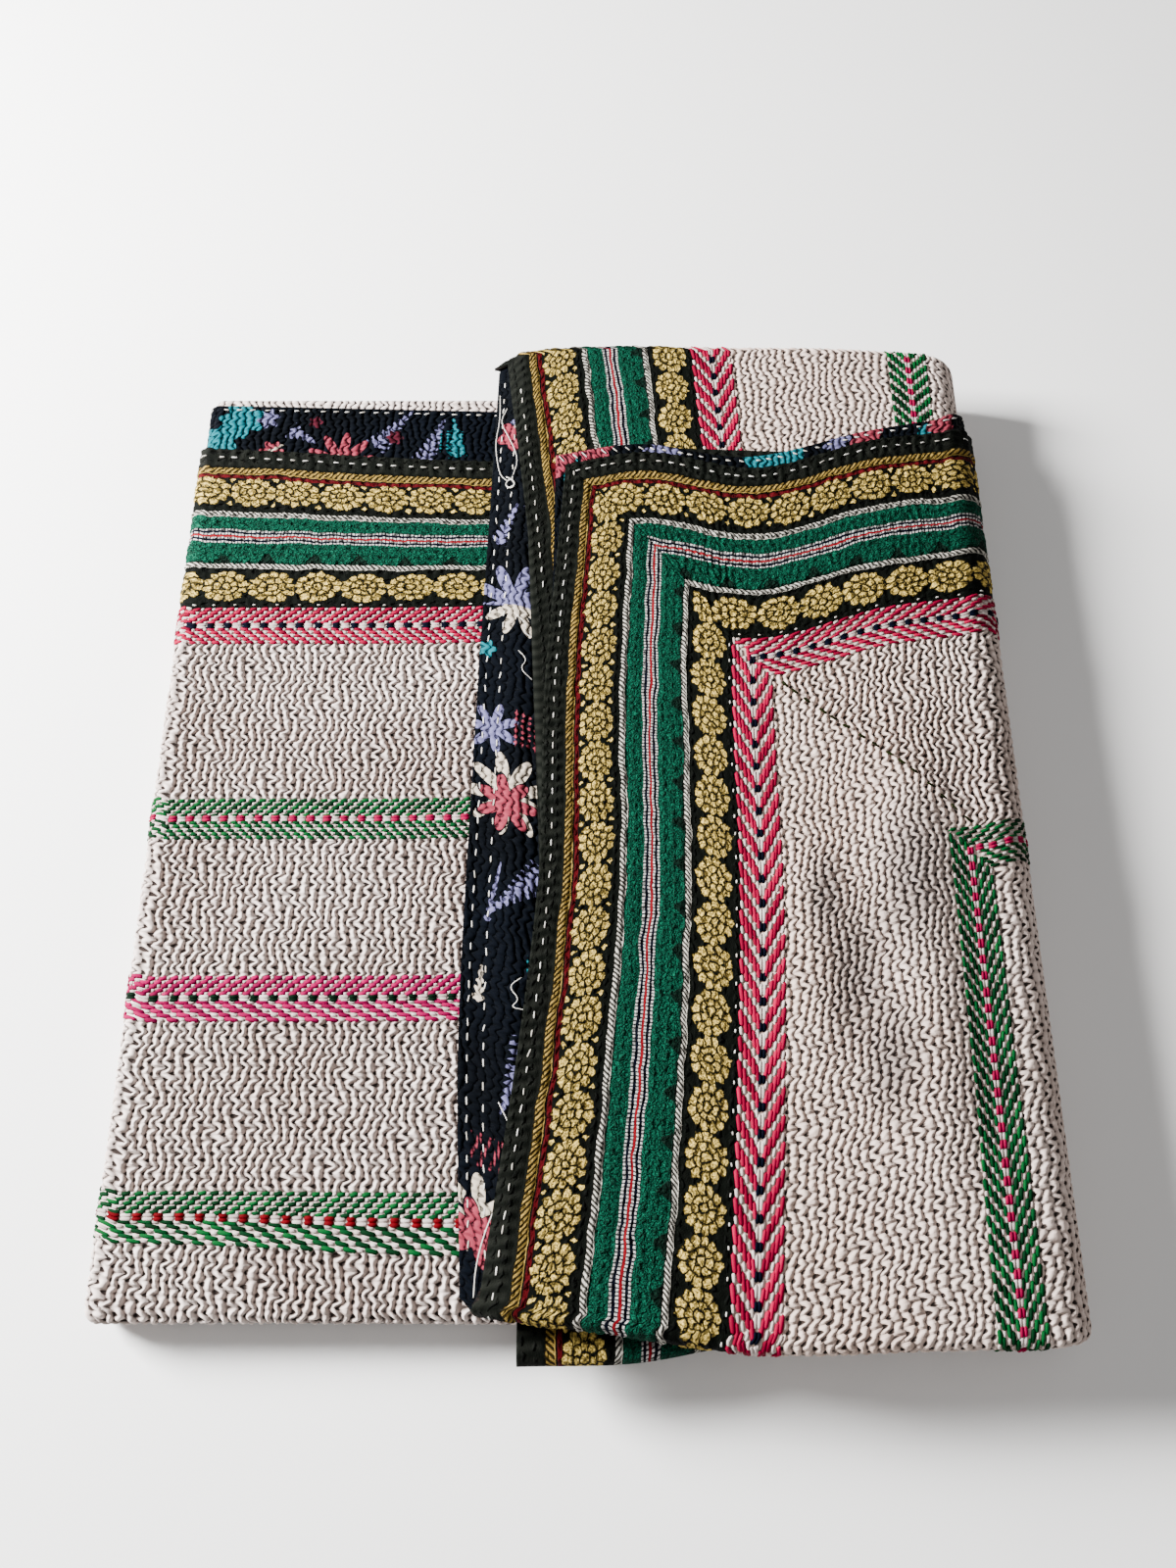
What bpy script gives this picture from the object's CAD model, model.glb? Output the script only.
# %% [markdown]
# # A folded kantha quilt
#
# A kantha is a quilt of old cotton, held together by nothing but rows of running
# stitch. The rows pull the cloth into small puffs and pits, so the surface ripples
# all over. This one has a cream front with striped bands of coloured stitches, a
# dark flowered lining, and woven tape sewn round its edge. It lies folded.
#
# The folding is a rule that takes a point of the flat quilt to its place in the
# pack. Every piece here is made flat, in the quilt's own metres, and then folded by
# that rule, so patterns, stitches and tape run round the folds as the cloth does.

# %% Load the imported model
from functools import partial

import bpy
import numpy as np
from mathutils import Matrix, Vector


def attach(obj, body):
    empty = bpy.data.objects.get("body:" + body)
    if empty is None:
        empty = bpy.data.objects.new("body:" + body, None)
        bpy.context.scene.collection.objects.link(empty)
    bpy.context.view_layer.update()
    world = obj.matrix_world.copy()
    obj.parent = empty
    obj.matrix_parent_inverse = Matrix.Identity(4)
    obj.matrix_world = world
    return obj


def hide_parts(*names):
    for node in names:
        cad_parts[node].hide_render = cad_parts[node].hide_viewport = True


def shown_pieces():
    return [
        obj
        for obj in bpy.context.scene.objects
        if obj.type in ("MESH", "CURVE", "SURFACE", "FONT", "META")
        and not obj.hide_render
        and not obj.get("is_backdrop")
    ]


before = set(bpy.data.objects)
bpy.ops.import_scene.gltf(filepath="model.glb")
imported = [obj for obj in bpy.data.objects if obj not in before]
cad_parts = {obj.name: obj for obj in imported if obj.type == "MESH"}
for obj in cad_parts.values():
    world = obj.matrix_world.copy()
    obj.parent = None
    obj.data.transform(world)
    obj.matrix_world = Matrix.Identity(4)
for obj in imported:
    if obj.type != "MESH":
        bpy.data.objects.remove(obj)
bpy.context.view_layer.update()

# %% [markdown]
# ## Camera, floor and light
#
# The view is from above and a little in front, close enough that the near folds
# look wider than the far ones. A wide lens near the object gives that. The floor is
# plain and pale. One soft light stands to the left and a little behind, as a window
# would, so each puff of the cloth has a lit side and a shaded one. A large dim light
# overhead fills the shadows.

# %% Camera
FRAME_HEIGHT_PX = 1600
FOCAL_PX = 1201                 # focal length in the frame's pixels
SENSOR_MM = 36
CAMERA_HEIGHT = 0.635           # above the surface that the pack lies on
CAMERA_TILT = np.radians(90 - 69.7)
PACK_MIDDLE = (-0.0038, 0.2225)     # the footprint's middle in the folding rule's x and y

camera_data = bpy.data.cameras.new("camera")
camera_data.sensor_fit = "AUTO"
camera_data.sensor_width = SENSOR_MM
camera_data.lens = SENSOR_MM * FOCAL_PX / FRAME_HEIGHT_PX
camera = bpy.data.objects.new("camera", camera_data)
camera.location = (-PACK_MIDDLE[0], -PACK_MIDDLE[1], CAMERA_HEIGHT)
camera.rotation_euler = (CAMERA_TILT, 0, 0)
bpy.context.scene.collection.objects.link(camera)
bpy.context.scene.camera = camera
print("lens", round(camera_data.lens, 2), "mm")


# %% Colours and material nodes
def linear(hex_colour):
    """An sRGB hex colour as linear red, green, blue and alpha."""
    s = np.array([int(hex_colour[k:k + 2], 16) for k in (1, 3, 5)]) / 255
    rgb = np.where(s <= 0.04045, s / 12.92, ((s + 0.055) / 1.055) ** 2.4)
    return (*rgb.tolist(), 1.0)


def node_adder(tree):
    """A function that adds a node to this tree."""
    def add(kind, *values, **settings):
        """Adds a node, sets its properties and fills its open inputs in order with numbers, colours or
        other nodes' outputs, leaving out those given as None. Returns its first open output."""
        node = tree.nodes.new("ShaderNode" + kind)
        for name, value in settings.items():
            setattr(node, name, value)
        sockets = [socket for socket in node.inputs if socket.enabled]
        for socket, value in zip(sockets, values):
            if isinstance(value, bpy.types.NodeSocket):
                tree.links.new(value, socket)
            elif value is not None:
                socket.default_value = linear(value) if isinstance(value, str) else value
        return next(socket for socket in node.outputs if socket.enabled)
    return add


def cloth_material(name, roughness):
    """An empty matt material: itself, the function that adds its nodes, and its shader."""
    material = bpy.data.materials.new(name)
    material.use_nodes = True
    shader = material.node_tree.nodes["Principled BSDF"]
    shader.inputs["Roughness"].default_value = roughness
    shader.inputs["Specular IOR Level"].default_value = 0.03
    return material, node_adder(material.node_tree), shader


def finish_material(material, shader, colour, height, depth):
    """Joins the colour and, as a bump this deep in metres, the height to the shader."""
    links = material.node_tree.links
    bump = material.node_tree.nodes.new("ShaderNodeBump")
    bump.inputs["Distance"].default_value = depth
    links.new(height, bump.inputs["Height"])
    links.new(bump.outputs["Normal"], shader.inputs["Normal"])
    links.new(colour, shader.inputs["Base Color"])


# %% Floor, window light and fill
def area_light(name, place, aim, size, watts, colour):
    """A square light of this size in metres at one place, turned to another."""
    data = bpy.data.lights.new(name, "AREA")
    data.shape, data.size, data.energy, data.color = "SQUARE", size, watts, linear(colour)[:3]
    light = bpy.data.objects.new(name, data)
    light.location = place
    light.rotation_euler = (Vector(aim) - Vector(place)).to_track_quat("-Z", "Y").to_euler()
    bpy.context.scene.collection.objects.link(light)


FLOOR_HALF = 3.0
floor_mesh = bpy.data.meshes.new("floor")
floor_mesh.from_pydata([(-FLOOR_HALF, -FLOOR_HALF, 0), (FLOOR_HALF, -FLOOR_HALF, 0),
                        (FLOOR_HALF, FLOOR_HALF, 0), (-FLOOR_HALF, FLOOR_HALF, 0)], [], [(0, 1, 2, 3)])
floor = bpy.data.objects.new("floor", floor_mesh)
bpy.context.scene.collection.objects.link(floor)
floor_paint, _, floor_shader = cloth_material("matt white studio board", 0.9)
floor_shader.inputs["Base Color"].default_value = linear("#F4F3F1")
floor_mesh.materials.append(floor_paint)
floor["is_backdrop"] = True

area_light("window", (-1.32, 0.42, 0.72), (0, 0, 0.03), 0.50, 200, "#FFFFFF")
area_light("fill", (0.3, -0.2, 1.6), (0, 0, 0.03), 1.6, 7, "#FFFAF6")
world = bpy.data.worlds.new("soft room")
world.use_nodes = True
world.node_tree.nodes["Background"].inputs["Color"].default_value = linear("#F2F4F8")
world.node_tree.nodes["Background"].inputs["Strength"].default_value = 0.24
bpy.context.scene.world = world

# %% [markdown]
# ## The folding rule
#
# The quilt is folded twice. Along its length it is halved with the front outside
# and halved again, which gives a strip of four quarters. Across its width that
# strip is folded into four leaves, unevenly, so the pack is eight layers high at
# the left and sixteen at the right. A station is a number along such a path: whole
# numbers are the ends of flats and of half circles, taken in turn.

# %% The cloth and the folds
THICK = 0.0026          # quilted sheet
PITCH = 0.0030          # from one layer of a strip to the next
LOOSE = 0.0009          # extra pitch in the top leaf
LEAF_GAP = 0.0012
NEST = 0.002
RIGHT_FOLD_X = 0.2105
INNER_FOLD_X = 0.2075
LEFT_FOLD_X = -0.2305
TOP_EDGE_X = -0.045
UNDER_EDGE_X = -0.033
DROP_START_X = -0.036
DROP_WIDTH = 0.028
DROP_CLEAR = 0.0006
SKEW = 0.013            # draw of the left panel's cloth, out of square

STRIP = THICK + 3 * PITCH
THIRD_BASE = STRIP + LEAF_GAP
SECOND_TOP = THIRD_BASE + 2 * STRIP + LEAF_GAP
TOP_BASE = SECOND_TOP + LEAF_GAP

# Reach of the strip at each station across. Columns: station, near folds, taped
# end, other end, far fold.
REACH = np.array((
    (0.00, -0.0420, 0.4155, 0.4250, 0.5030),
    (0.20, -0.0480, 0.4240, 0.4330, 0.5085),
    (0.50, -0.0575, 0.4130, 0.4240, 0.5080),
    (0.80, -0.0560, 0.4320, 0.4420, 0.5070),
    (1.00, -0.0550, 0.4400, 0.4520, 0.5030),
    (2.00, -0.0500, 0.4440, 0.4700, 0.4970),
    (3.00, -0.0470, 0.4460, 0.4800, 0.4900),
    (4.00, -0.0465, 0.4470, 0.4820, 0.4890),
    (4.36, -0.0465, 0.4380, 0.4780, 0.4890),
    (5.00, -0.0480, 0.4400, 0.4700, 0.4900),
    (6.00, -0.0530, 0.4400, 0.4650, 0.4950),
    (6.60, -0.0560, 0.4400, 0.4600, 0.4950),
    (6.75, -0.0620, 0.4400, 0.4600, 0.4950),
    (7.00, -0.0640, 0.4400, 0.4600, 0.4950),
))

# x of the top leaf's side edge along the sheet. Columns: station, x.
SIDE_EDGE = np.array((
    (0.00, -0.0130), (0.18, -0.0193), (0.31, -0.0235), (0.56, -0.0256),
    (0.77, -0.0355), (0.92, -0.0450), (1.00, -0.0500), (1.45, -0.0515), (2.00, -0.0610),
    (2.20, -0.0660), (2.50, -0.0640), (3.00, -0.0560), (4.00, -0.0500),
    (4.20, -0.0370), (4.40, -0.0270), (5.00, -0.0250), (6.00, -0.0240),
    (7.00, -0.0190),
))

# Soft ridges of the top leaf. Columns: x, half width, near y, far y, height.
RIDGES = (
    (0.112, 0.019, 0.02, 0.22, 0.0045),
    (0.168, 0.020, -0.01, 0.27, 0.0060),
)


# %% The rule itself
def smooth_table(table, column, at):
    """The column at these stations, by cubic pieces whose slopes are the mean of their neighbours'."""
    knots, values = table[:, 0], table[:, column]
    slopes = np.gradient(values, knots)
    cell = np.clip(np.searchsorted(knots, at, side="right") - 1, 0, len(knots) - 2)
    span = knots[cell + 1] - knots[cell]
    t = (at - knots[cell]) / span
    return (values[cell] * (1 + 2 * t) * (1 - t) ** 2 + values[cell + 1] * t**2 * (3 - 2 * t)
            + span * slopes[cell] * t * (1 - t) ** 2 - span * slopes[cell + 1] * t**2 * (1 - t))


def ease(t):
    """0 before t = 0, 1 after t = 1, and a smooth S between."""
    t = np.clip(t, 0, 1)
    return t * t * (3 - 2 * t)


def ridges(x, y):
    """Height of the top leaf's soft ridges: a bell across x that fades in and out along y."""
    lift = np.zeros_like(x)
    for centre, half_width, near, far, height in RIDGES:
        along = ease((y - near) / 0.08) * ease((far - y) / 0.08)
        lift += height * along * np.exp(-(((x - centre) / half_width) ** 2))
    return lift * ease((RIGHT_FOLD_X - x) / 0.03)


def strip_shape(across):
    """Layer pitch, the y of the centres of the near, nested and far folds, and the y of the two ends."""
    near, taped_end, other_end, far = (smooth_table(REACH, k, across) for k in (1, 2, 3, 4))
    pitch = PITCH + LOOSE * ease((1 - across) / 0.2)
    near_y = near + 1.5 * pitch + THICK / 2
    return pitch, near_y, near_y + NEST, far - 0.5 * pitch - THICK / 2, taped_end, other_end


def pick(part, rows):
    """For each point, the row of its own part."""
    return np.choose(part.astype(int), [np.broadcast_to(row, part.shape) for row in rows])


def strip_section(across, along, out):
    """(y, height in the strip) of a point out metres to the front side of the sheet's middle:
    four flats joined by three half circles."""
    pitch, near_y, nest_y, far_y, taped_end, other_end = strip_shape(across)
    low, outer, inner = THICK / 2, 1.5 * pitch, 0.5 * pitch
    part = np.clip(np.floor(along), 0, 6)
    f = along - part
    sin, cos, one = np.sin(np.pi * f), np.cos(np.pi * f), np.ones_like(f)
    rows = (
        (taped_end + (near_y - taped_end) * f, low + 3 * pitch, 0 * f, one),
        (near_y - outer * sin, low + outer + outer * cos, -sin, cos),
        (near_y + (far_y - near_y) * f, low + 0 * f, 0 * f, -one),
        (far_y + inner * sin, low + inner - inner * cos, sin, -cos),
        (far_y + (nest_y - far_y) * f, low + pitch, 0 * f, one),
        (nest_y - inner * sin, low + outer - inner * cos, sin, cos),
        (nest_y + (other_end - nest_y) * f, low + 2 * pitch, 0 * f, -one),
    )
    y, height, side_y, side_up = (pick(part, [row[k] for row in rows]) for k in range(4))
    return y + out * side_y, height + out * side_up


def skew(across, along):
    """How much the left panel's cloth is drawn to the far side, more towards the middle of the pack."""
    beside = np.clip((across - 4) / 0.46, 0, 1) * ease((5 - across) / 0.4)
    return SKEW * beside * ease(along / 0.25) * ease((1 - along) / 0.12)


def folded(across, along, out):
    """Place of the sheet's point at these two stations, out metres to its front side."""
    across, along, out = np.broadcast_arrays(*(np.asarray(a, float) for a in (across, along, out)))
    y, height = strip_section(across, along, out)
    y = y + skew(across, along)
    part = np.clip(np.floor(across), 0, 6)
    f = across - part
    sin, cos = np.sin(np.pi * f), np.cos(np.pi * f)
    wide = (TOP_BASE - STRIP) / 2 + height
    tight = LEAF_GAP / 2 + height
    nested = LEAF_GAP / 2 + STRIP - height
    edge = smooth_table(SIDE_EDGE, 1, along)
    rows = (
        (edge + (RIGHT_FOLD_X - edge) * f, TOP_BASE + height),
        (RIGHT_FOLD_X + wide * sin, (TOP_BASE + STRIP) / 2 + wide * cos),
        (RIGHT_FOLD_X + (LEFT_FOLD_X - RIGHT_FOLD_X) * f, STRIP - height),
        (LEFT_FOLD_X - tight * sin, STRIP + LEAF_GAP / 2 - tight * cos),
        (LEFT_FOLD_X + (INNER_FOLD_X - LEFT_FOLD_X) * f, THIRD_BASE + height),
        (INNER_FOLD_X + nested * sin, THIRD_BASE + STRIP + LEAF_GAP / 2 - nested * cos),
        (INNER_FOLD_X + (UNDER_EDGE_X - INNER_FOLD_X) * f, SECOND_TOP - height),
    )
    x, z = (pick(part, [row[k] for row in rows]) for k in range(2))
    drop = (TOP_BASE - THIRD_BASE - STRIP - DROP_CLEAR) * ease((DROP_START_X - x) / DROP_WIDTH)
    settle = np.where(across < 1, ridges(x, y) - drop, 0)
    return np.stack((x - PACK_MIDDLE[0], y - PACK_MIDDLE[1], z + settle), axis=-1)


# %% Flat metres to stations and back
LEAF_LENGTHS = np.array((
    RIGHT_FOLD_X - TOP_EDGE_X,
    np.pi * TOP_BASE / 2,
    RIGHT_FOLD_X - LEFT_FOLD_X,
    np.pi * (LEAF_GAP + STRIP) / 2,
    INNER_FOLD_X - LEFT_FOLD_X,
    np.pi * (LEAF_GAP + STRIP) / 2,
    INNER_FOLD_X - UNDER_EDGE_X,
))
LEAF_STARTS = np.concatenate(((0,), np.cumsum(LEAF_LENGTHS)))
WIDTH = LEAF_STARTS[-1]


def quarter_starts(across):
    """Flat distance from the taped end to the start of each part of the strip, and to its end."""
    pitch, near_y, nest_y, far_y, taped_end, other_end = strip_shape(across)
    lengths = (taped_end - near_y, 1.5 * np.pi * pitch, far_y - near_y, 0.5 * np.pi * pitch,
               far_y - nest_y, 0.5 * np.pi * pitch, other_end - nest_y)
    return np.concatenate((np.zeros((1, *np.shape(across))), np.cumsum(lengths, axis=0)))


LENGTH = float(quarter_starts(np.array(2.5))[-1])


def stations(u, v):
    """Stations of the flat point u metres from the first side and v metres from the taped end."""
    across = np.interp(u, LEAF_STARTS, np.arange(8))
    starts = quarter_starts(across)
    part = np.clip((v >= starts[1:-1]).sum(axis=0), 0, 6)
    low = np.take_along_axis(starts, part[None], 0)[0]
    high = np.take_along_axis(starts, part[None] + 1, 0)[0]
    return across, part + np.clip((v - low) / (high - low), 0, 1)


def flat_place(across, along):
    """Flat (u, v, total length there) of these stations."""
    across, along = np.broadcast_arrays(across, along)
    u = np.interp(across, np.arange(8), LEAF_STARTS)
    starts = quarter_starts(across)
    part = np.clip(np.floor(along), 0, 6).astype(int)
    low = np.take_along_axis(starts, part[None], 0)[0]
    high = np.take_along_axis(starts, part[None] + 1, 0)[0]
    return u, low + (along - part) * (high - low), starts[-1]


print("flat quilt", round(WIDTH, 3), "by", round(LENGTH, 3), "m")

# %% [markdown]
# ## The ripple of kantha stitching
#
# The rows of running stitch are 3 mm apart, closer than the stitches are long, so
# the puffs between the stitches of one row join those of the next. They make ridges
# that run across the rows and zigzag as they go. Where the thread lies on top it
# presses a pit, with a needle hole in it, into the valley between two ridges, and
# every other row draws the ridge itself down, so it reads as a chain of puffs.
#
# A ridge's place is a count of stitches along the rows, and its height is a cosine of
# that count. Sums of sines shift the count: slow ones make the ridges lean one way
# here and the other way there, and ones that start elsewhere in each row make the
# zigzag. The mesh and the cotton's bump are worked out from the same numbers, so the
# mesh gives the swelling and its shadows, and the bump gives its crisp edges.

# %% The ripple
PUFF = 0.0016                   # height of a ridge over a valley
ROW, STITCH = 0.0030, 0.00465   # between rows, and from one stitch to the next
PIT_REACH, PIT_DEPTH = 0.0014, 0.35
# Beside the side edge the ridges are flatter and cut into puffs, and beside the end they are sharp. The
# pairs are for the one and the other, and the mitre's diagonal, where u equals v, parts them.
MITRE = (-0.008, 0.008)         # u - v from one side of the diagonal to the other
HEIGHTS = 0.70, 1.0             # share of the puffs' height
SINKS = 0.60, 0.58              # how far a ridge sinks where every other row crosses it
CALMS = 0.75, 1.0               # share of the row waves
POWERS = 0.55, 1.1              # of the cosine
# size in stitches, change of angle per metre along the rows and across them, start
LEAN_WAVES = ((0.26, 57, 171, 0.0), (0.17, -75, 225, 1.3), (0.14, 127, 69, 2.1), (0.10, 205, -390, 0.7))
# the same, but the third number is per row
ROW_WAVES = ((0.21, 0, np.pi, np.pi / 2), (0.17, 270, 2.4, 0.0), (0.12, 635, 3.9, 0.5))


def waves(table, a, b):
    """Sum of sines: each is its size times the sine of (per_a a + per_b b + start)."""
    return sum(size * np.sin(per_a * a + per_b * b + start) for size, per_a, per_b, start in table)


def odd(number):
    """1 for an odd whole number and 0 for an even one."""
    return np.mod(number, 2)


def ripple(u, v):
    """Height, up to 1 on the ridges: a power of the cosine of the stitch count, less a bell on every other
    row, less the pits, which are cones where a valley meets a row."""
    row = np.floor(v / ROW)
    share = v / ROW - row
    below, above = waves(ROW_WAVES, u, row), waves(ROW_WAVES, u, row + 1)
    height, calm, sink, power = (np.interp(u - v, MITRE, pair) for pair in (HEIGHTS, CALMS, SINKS, POWERS))
    count = u / STITCH + waves(LEAN_WAVES, u, v) + calm * (below + (above - below) * share)
    nearest_row = np.floor(v / ROW + 0.5)
    from_row = np.minimum(share, 1 - share) * ROW
    from_valley = (np.mod(count, 1) - 0.5) * STITCH
    ridge = np.abs(np.cos(np.pi * count)) ** power
    dip = sink * odd(nearest_row + np.floor(count + 0.5)) * np.clip(1 - from_row / PIT_REACH, 0, 1)
    pit = np.clip(1 - np.hypot(from_valley, from_row) / PIT_REACH, 0, 1)
    deep = PIT_DEPTH * (0.4 + 0.6 * odd(nearest_row + np.floor(count)))
    return 0.6 + height * (ridge * (1 - dip) - deep * pit - 0.6)


# %% [markdown]
# ## Cloth as a closed sheet
#
# A piece of the quilt is a grid of stations, placed once for its front face and once
# for its back, and closed round the rim. The face that shows is fine enough for the
# ripple to be real relief. The face that is hidden keeps only some of the lines, so
# each piece stays light, and the rim's triangles fan from the fine face to the
# coarse one.


# %% Grid helpers
def spans(*rows):
    """Grid lines from rows of (start, end, cells)."""
    return np.unique(np.round(np.concatenate([np.linspace(a, b, n + 1) for a, b, n in rows]), 7))


def grid_quads(columns, rows):
    """Corner numbers of each cell of a grid whose points are numbered row by row."""
    i, j = np.meshgrid(np.arange(columns - 1), np.arange(rows - 1), indexing="ij")
    first = (i * rows + j).ravel()
    return np.stack((first, first + 1, first + rows + 1, first + rows), axis=1)


def rim_loop(columns, rows):
    """Points round the edge of a grid, in order."""
    grid = np.arange(columns * rows).reshape(columns, rows)
    return np.concatenate((grid[:-1, 0], grid[-1, :-1], grid[:0:-1, -1], grid[0, :0:-1]))


def mesh_piece(name, points, quads, triangles, material, attributes=()):
    """A smooth-shaded mesh object at the origin, with named values on its points."""
    mesh = bpy.data.meshes.new(name)
    corners = np.concatenate((quads.ravel(), triangles.ravel())).astype(np.int32)
    sizes = np.concatenate((np.full(len(quads), 4), np.full(len(triangles), 3))).astype(np.int32)
    mesh.vertices.add(len(points))
    mesh.vertices.foreach_set("co", points.astype(np.float32).ravel())
    mesh.loops.add(len(corners))
    mesh.loops.foreach_set("vertex_index", corners)
    mesh.polygons.add(len(sizes))
    mesh.polygons.foreach_set("loop_start", np.concatenate(((0,), np.cumsum(sizes)[:-1])).astype(np.int32))
    mesh.polygons.foreach_set("loop_total", sizes)
    mesh.update(calc_edges=True)
    for key, values in dict(attributes).items():
        kind = "FLOAT_VECTOR" if values.ndim == 2 else "FLOAT"
        layer = mesh.attributes.new(key, kind, "POINT")
        layer.data.foreach_set("vector" if values.ndim == 2 else "value", values.astype(np.float32).ravel())
    mesh.shade_smooth()
    mesh.materials.append(material)
    piece = bpy.data.objects.new(name, mesh)
    bpy.context.scene.collection.objects.link(piece)
    print(name, len(mesh.vertices), "points")
    return piece


def closed_sheet(fine, coarse, keep, fine_is_front):
    """Points, quads and triangles of a closed mesh between a fine grid and a coarse one.
    keep holds the numbers of the fine grid's lines that the coarse grid has, both ways."""
    columns, rows = fine.shape[:2]
    keep_i, keep_j = keep
    fine_loop = rim_loop(columns, rows)
    coarse_loop = rim_loop(len(keep_i), len(keep_j))
    matching = keep_i[coarse_loop // len(keep_j)] * rows + keep_j[coarse_loop % len(keep_j)]
    place_in_loop = np.full(columns * rows, -1)
    place_in_loop[fine_loop] = np.arange(len(fine_loop))
    at = place_in_loop[matching]
    owner = np.searchsorted(at, np.arange(len(fine_loop)), side="right") - 1
    far_side = coarse_loop + columns * rows
    fans = np.stack((fine_loop, np.roll(fine_loop, -1), far_side[owner]), axis=1)
    links = np.stack((fine_loop[np.roll(at, -1)], np.roll(far_side, -1), far_side), axis=1)
    far_quads = grid_quads(len(keep_i), len(keep_j))[:, ::-1] + columns * rows
    quads = np.concatenate((grid_quads(columns, rows), far_quads))
    triangles = np.concatenate((fans, links))
    if not fine_is_front:
        quads, triangles = quads[:, ::-1], triangles[:, ::-1]
    return np.concatenate((fine.reshape(-1, 3), coarse.reshape(-1, 3))), quads, triangles


# %% [markdown]
# The quilt is cut into a few pieces only where nobody sees the cut: under the top
# leaf, on the underside, or inside a fold. Each remembers its flat place on every
# point, so the colours and the fine bump follow the cloth.

# %% A piece of the quilt
TAPE_WIDTH = 0.1125
TAPE_THICK = 0.0009
SEAM_GAP = 0.0003
RECESS_RAMP = 0.0035
HEM_ROUND = 0.0018              # radius of the turned edge
STRIPES = (0.1235, 0.2420, 0.3400, 0.4460)     # the embroidered bands' middles, in from the edge
STRIPE_HALF = 0.0108
SAG = 0.0155                    # the second band lies this much further in along the top leaf's end
STRIPE_SOFT = 0.0012            # width over which the ripple fades out beside a band
HIDDEN_STEP, FOLD_STEP = 0.012, 0.09    # least stations between the hidden face's lines, in flats and folds


def keep_lines(lines):
    """Numbers of the lines that the hidden face keeps: both ends, and others that lie far enough apart."""
    kept = [0]
    for number in range(1, len(lines) - 1):
        in_fold = int(lines[number] + 1e-6) % 2 == 1
        if lines[number] - lines[kept[-1]] > (FOLD_STEP if in_fold else HIDDEN_STEP) - 1e-6:
            kept.append(number)
    return np.array(kept + [len(lines) - 1])


def hem(distance):
    """Share of the thickness this far from a real edge: a quarter circle, never quite closed."""
    t = np.clip(distance / HEM_ROUND, 0, 1)
    return np.clip(np.sqrt(1 - (1 - t) ** 2), 0.25, 1)


def edge_distances(across, along):
    """Flat u, v and total length at these stations, and how far in from the nearest edge they are."""
    u, v, length = flat_place(across, along)
    return u, v, length, np.minimum(np.minimum(u, WIDTH - u), np.minimum(v, length - v))


def shown(across, along):
    """1 where the front may be in relief, and 0 where it lies on the floor or on another layer."""
    top = ease((1.75 - across) / 0.25)
    left = ease((across - 3.15) / 0.2) * ease((4.5 - across) / 0.05)
    near = ease((1.9 - along) / 0.3)
    far_fold = ease((along - 3.2) / 0.3) * ease((4.3 - along) / 0.05) * ease((1.1 - across) / 0.1)
    return np.maximum(np.maximum(top, left) * near, far_fold)


def sag(u):
    """How much further in the second band lies at u: SAG on the top leaf, easing to 0 at 0.6 m."""
    return SAG * ease((0.6 - u) / 0.2)


def in_stripe(u, v, length):
    """1 inside the embroidered bands, which run at set distances from the edge."""
    from_side, from_end = np.minimum(u, WIDTH - u), np.minimum(v, length - v)
    inward = np.minimum(from_side, from_end - sag(u) * ease((from_end - 0.15) / 0.05))
    away = np.abs(inward[..., None] - np.array(STRIPES)).min(axis=-1)
    return ease((STRIPE_HALF + STRIPE_SOFT - away) / STRIPE_SOFT)


def front_out(across, along):
    """How far the front stands from the sheet's middle: the hem's round, the tape's recess and the ripple."""
    u, v, length, edge = edge_distances(across, along)
    foot = TAPE_WIDTH + 2 * SEAM_GAP
    sunk = (TAPE_THICK + SEAM_GAP) * np.clip((foot + RECESS_RAMP - edge) / RECESS_RAMP, 0, 1)
    relief = PUFF * (ripple(u, v) - 0.6) * shown(across, along) * ease((edge - foot) / RECESS_RAMP)
    return (THICK / 2 - sunk) * hem(edge) + relief * (1 - in_stripe(u, v, length))


def back_out(across, along):
    """How far the back stands from the middle: the same ripple, turned over, where the lining shows."""
    u, v, length, edge = edge_distances(across, along)
    lining_shows = ease((along - 2.05) / 0.02) * ease((2.98 - along) / 0.02) * ease((0.35 - across) / 0.1)
    end_shows = ease((along - 6.8) / 0.05)
    relief = 0.6 * PUFF * (ripple(u, v) - 0.4) * np.maximum(lining_shows, end_shows) * ease(edge / HEM_ROUND)
    return -(THICK / 2) * hem(edge) - relief


def cloth_piece(name, across_lines, along_lines, fine_is_front, material, extra=None):
    """A closed piece of the quilt over these lines, with its flat place on each point."""
    keep = keep_lines(across_lines), keep_lines(along_lines)
    kept_lines = across_lines[keep[0]], along_lines[keep[1]]
    grids = [(across[:, None], along[None, :]) for across, along in ((across_lines, along_lines), kept_lines)]
    outs = (front_out, back_out) if fine_is_front else (back_out, front_out)
    faces, places = [], []
    for (across, along), out in zip(grids, outs):
        across, along = np.broadcast_arrays(across, along)
        faces.append(folded(across, along, out(across, along)))
        places.append(np.stack([across.ravel(), along.ravel()]))
    points, quads, triangles = closed_sheet(*faces, keep, fine_is_front)
    across, along = np.concatenate(places, axis=1)
    u, v, length, edge = edge_distances(across, along)
    front = np.concatenate([np.full(place.shape[1], side) for place, side in
                            zip(places, (1.0, 0.0) if fine_is_front else (0.0, 1.0))])
    attributes = {
        "flat": np.stack((u, v, edge), axis=1),
        "front": front,
        "sewn": 1 - in_stripe(u, v, length) * front,
    }
    if extra is not None:
        attributes |= extra(u, v, length)
    piece = mesh_piece(name, points, quads, triangles, material, attributes)
    low, high = (flat_place(across_lines, np.full(len(across_lines), end))[1] for end in along_lines[[0, -1]])
    return piece


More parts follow.
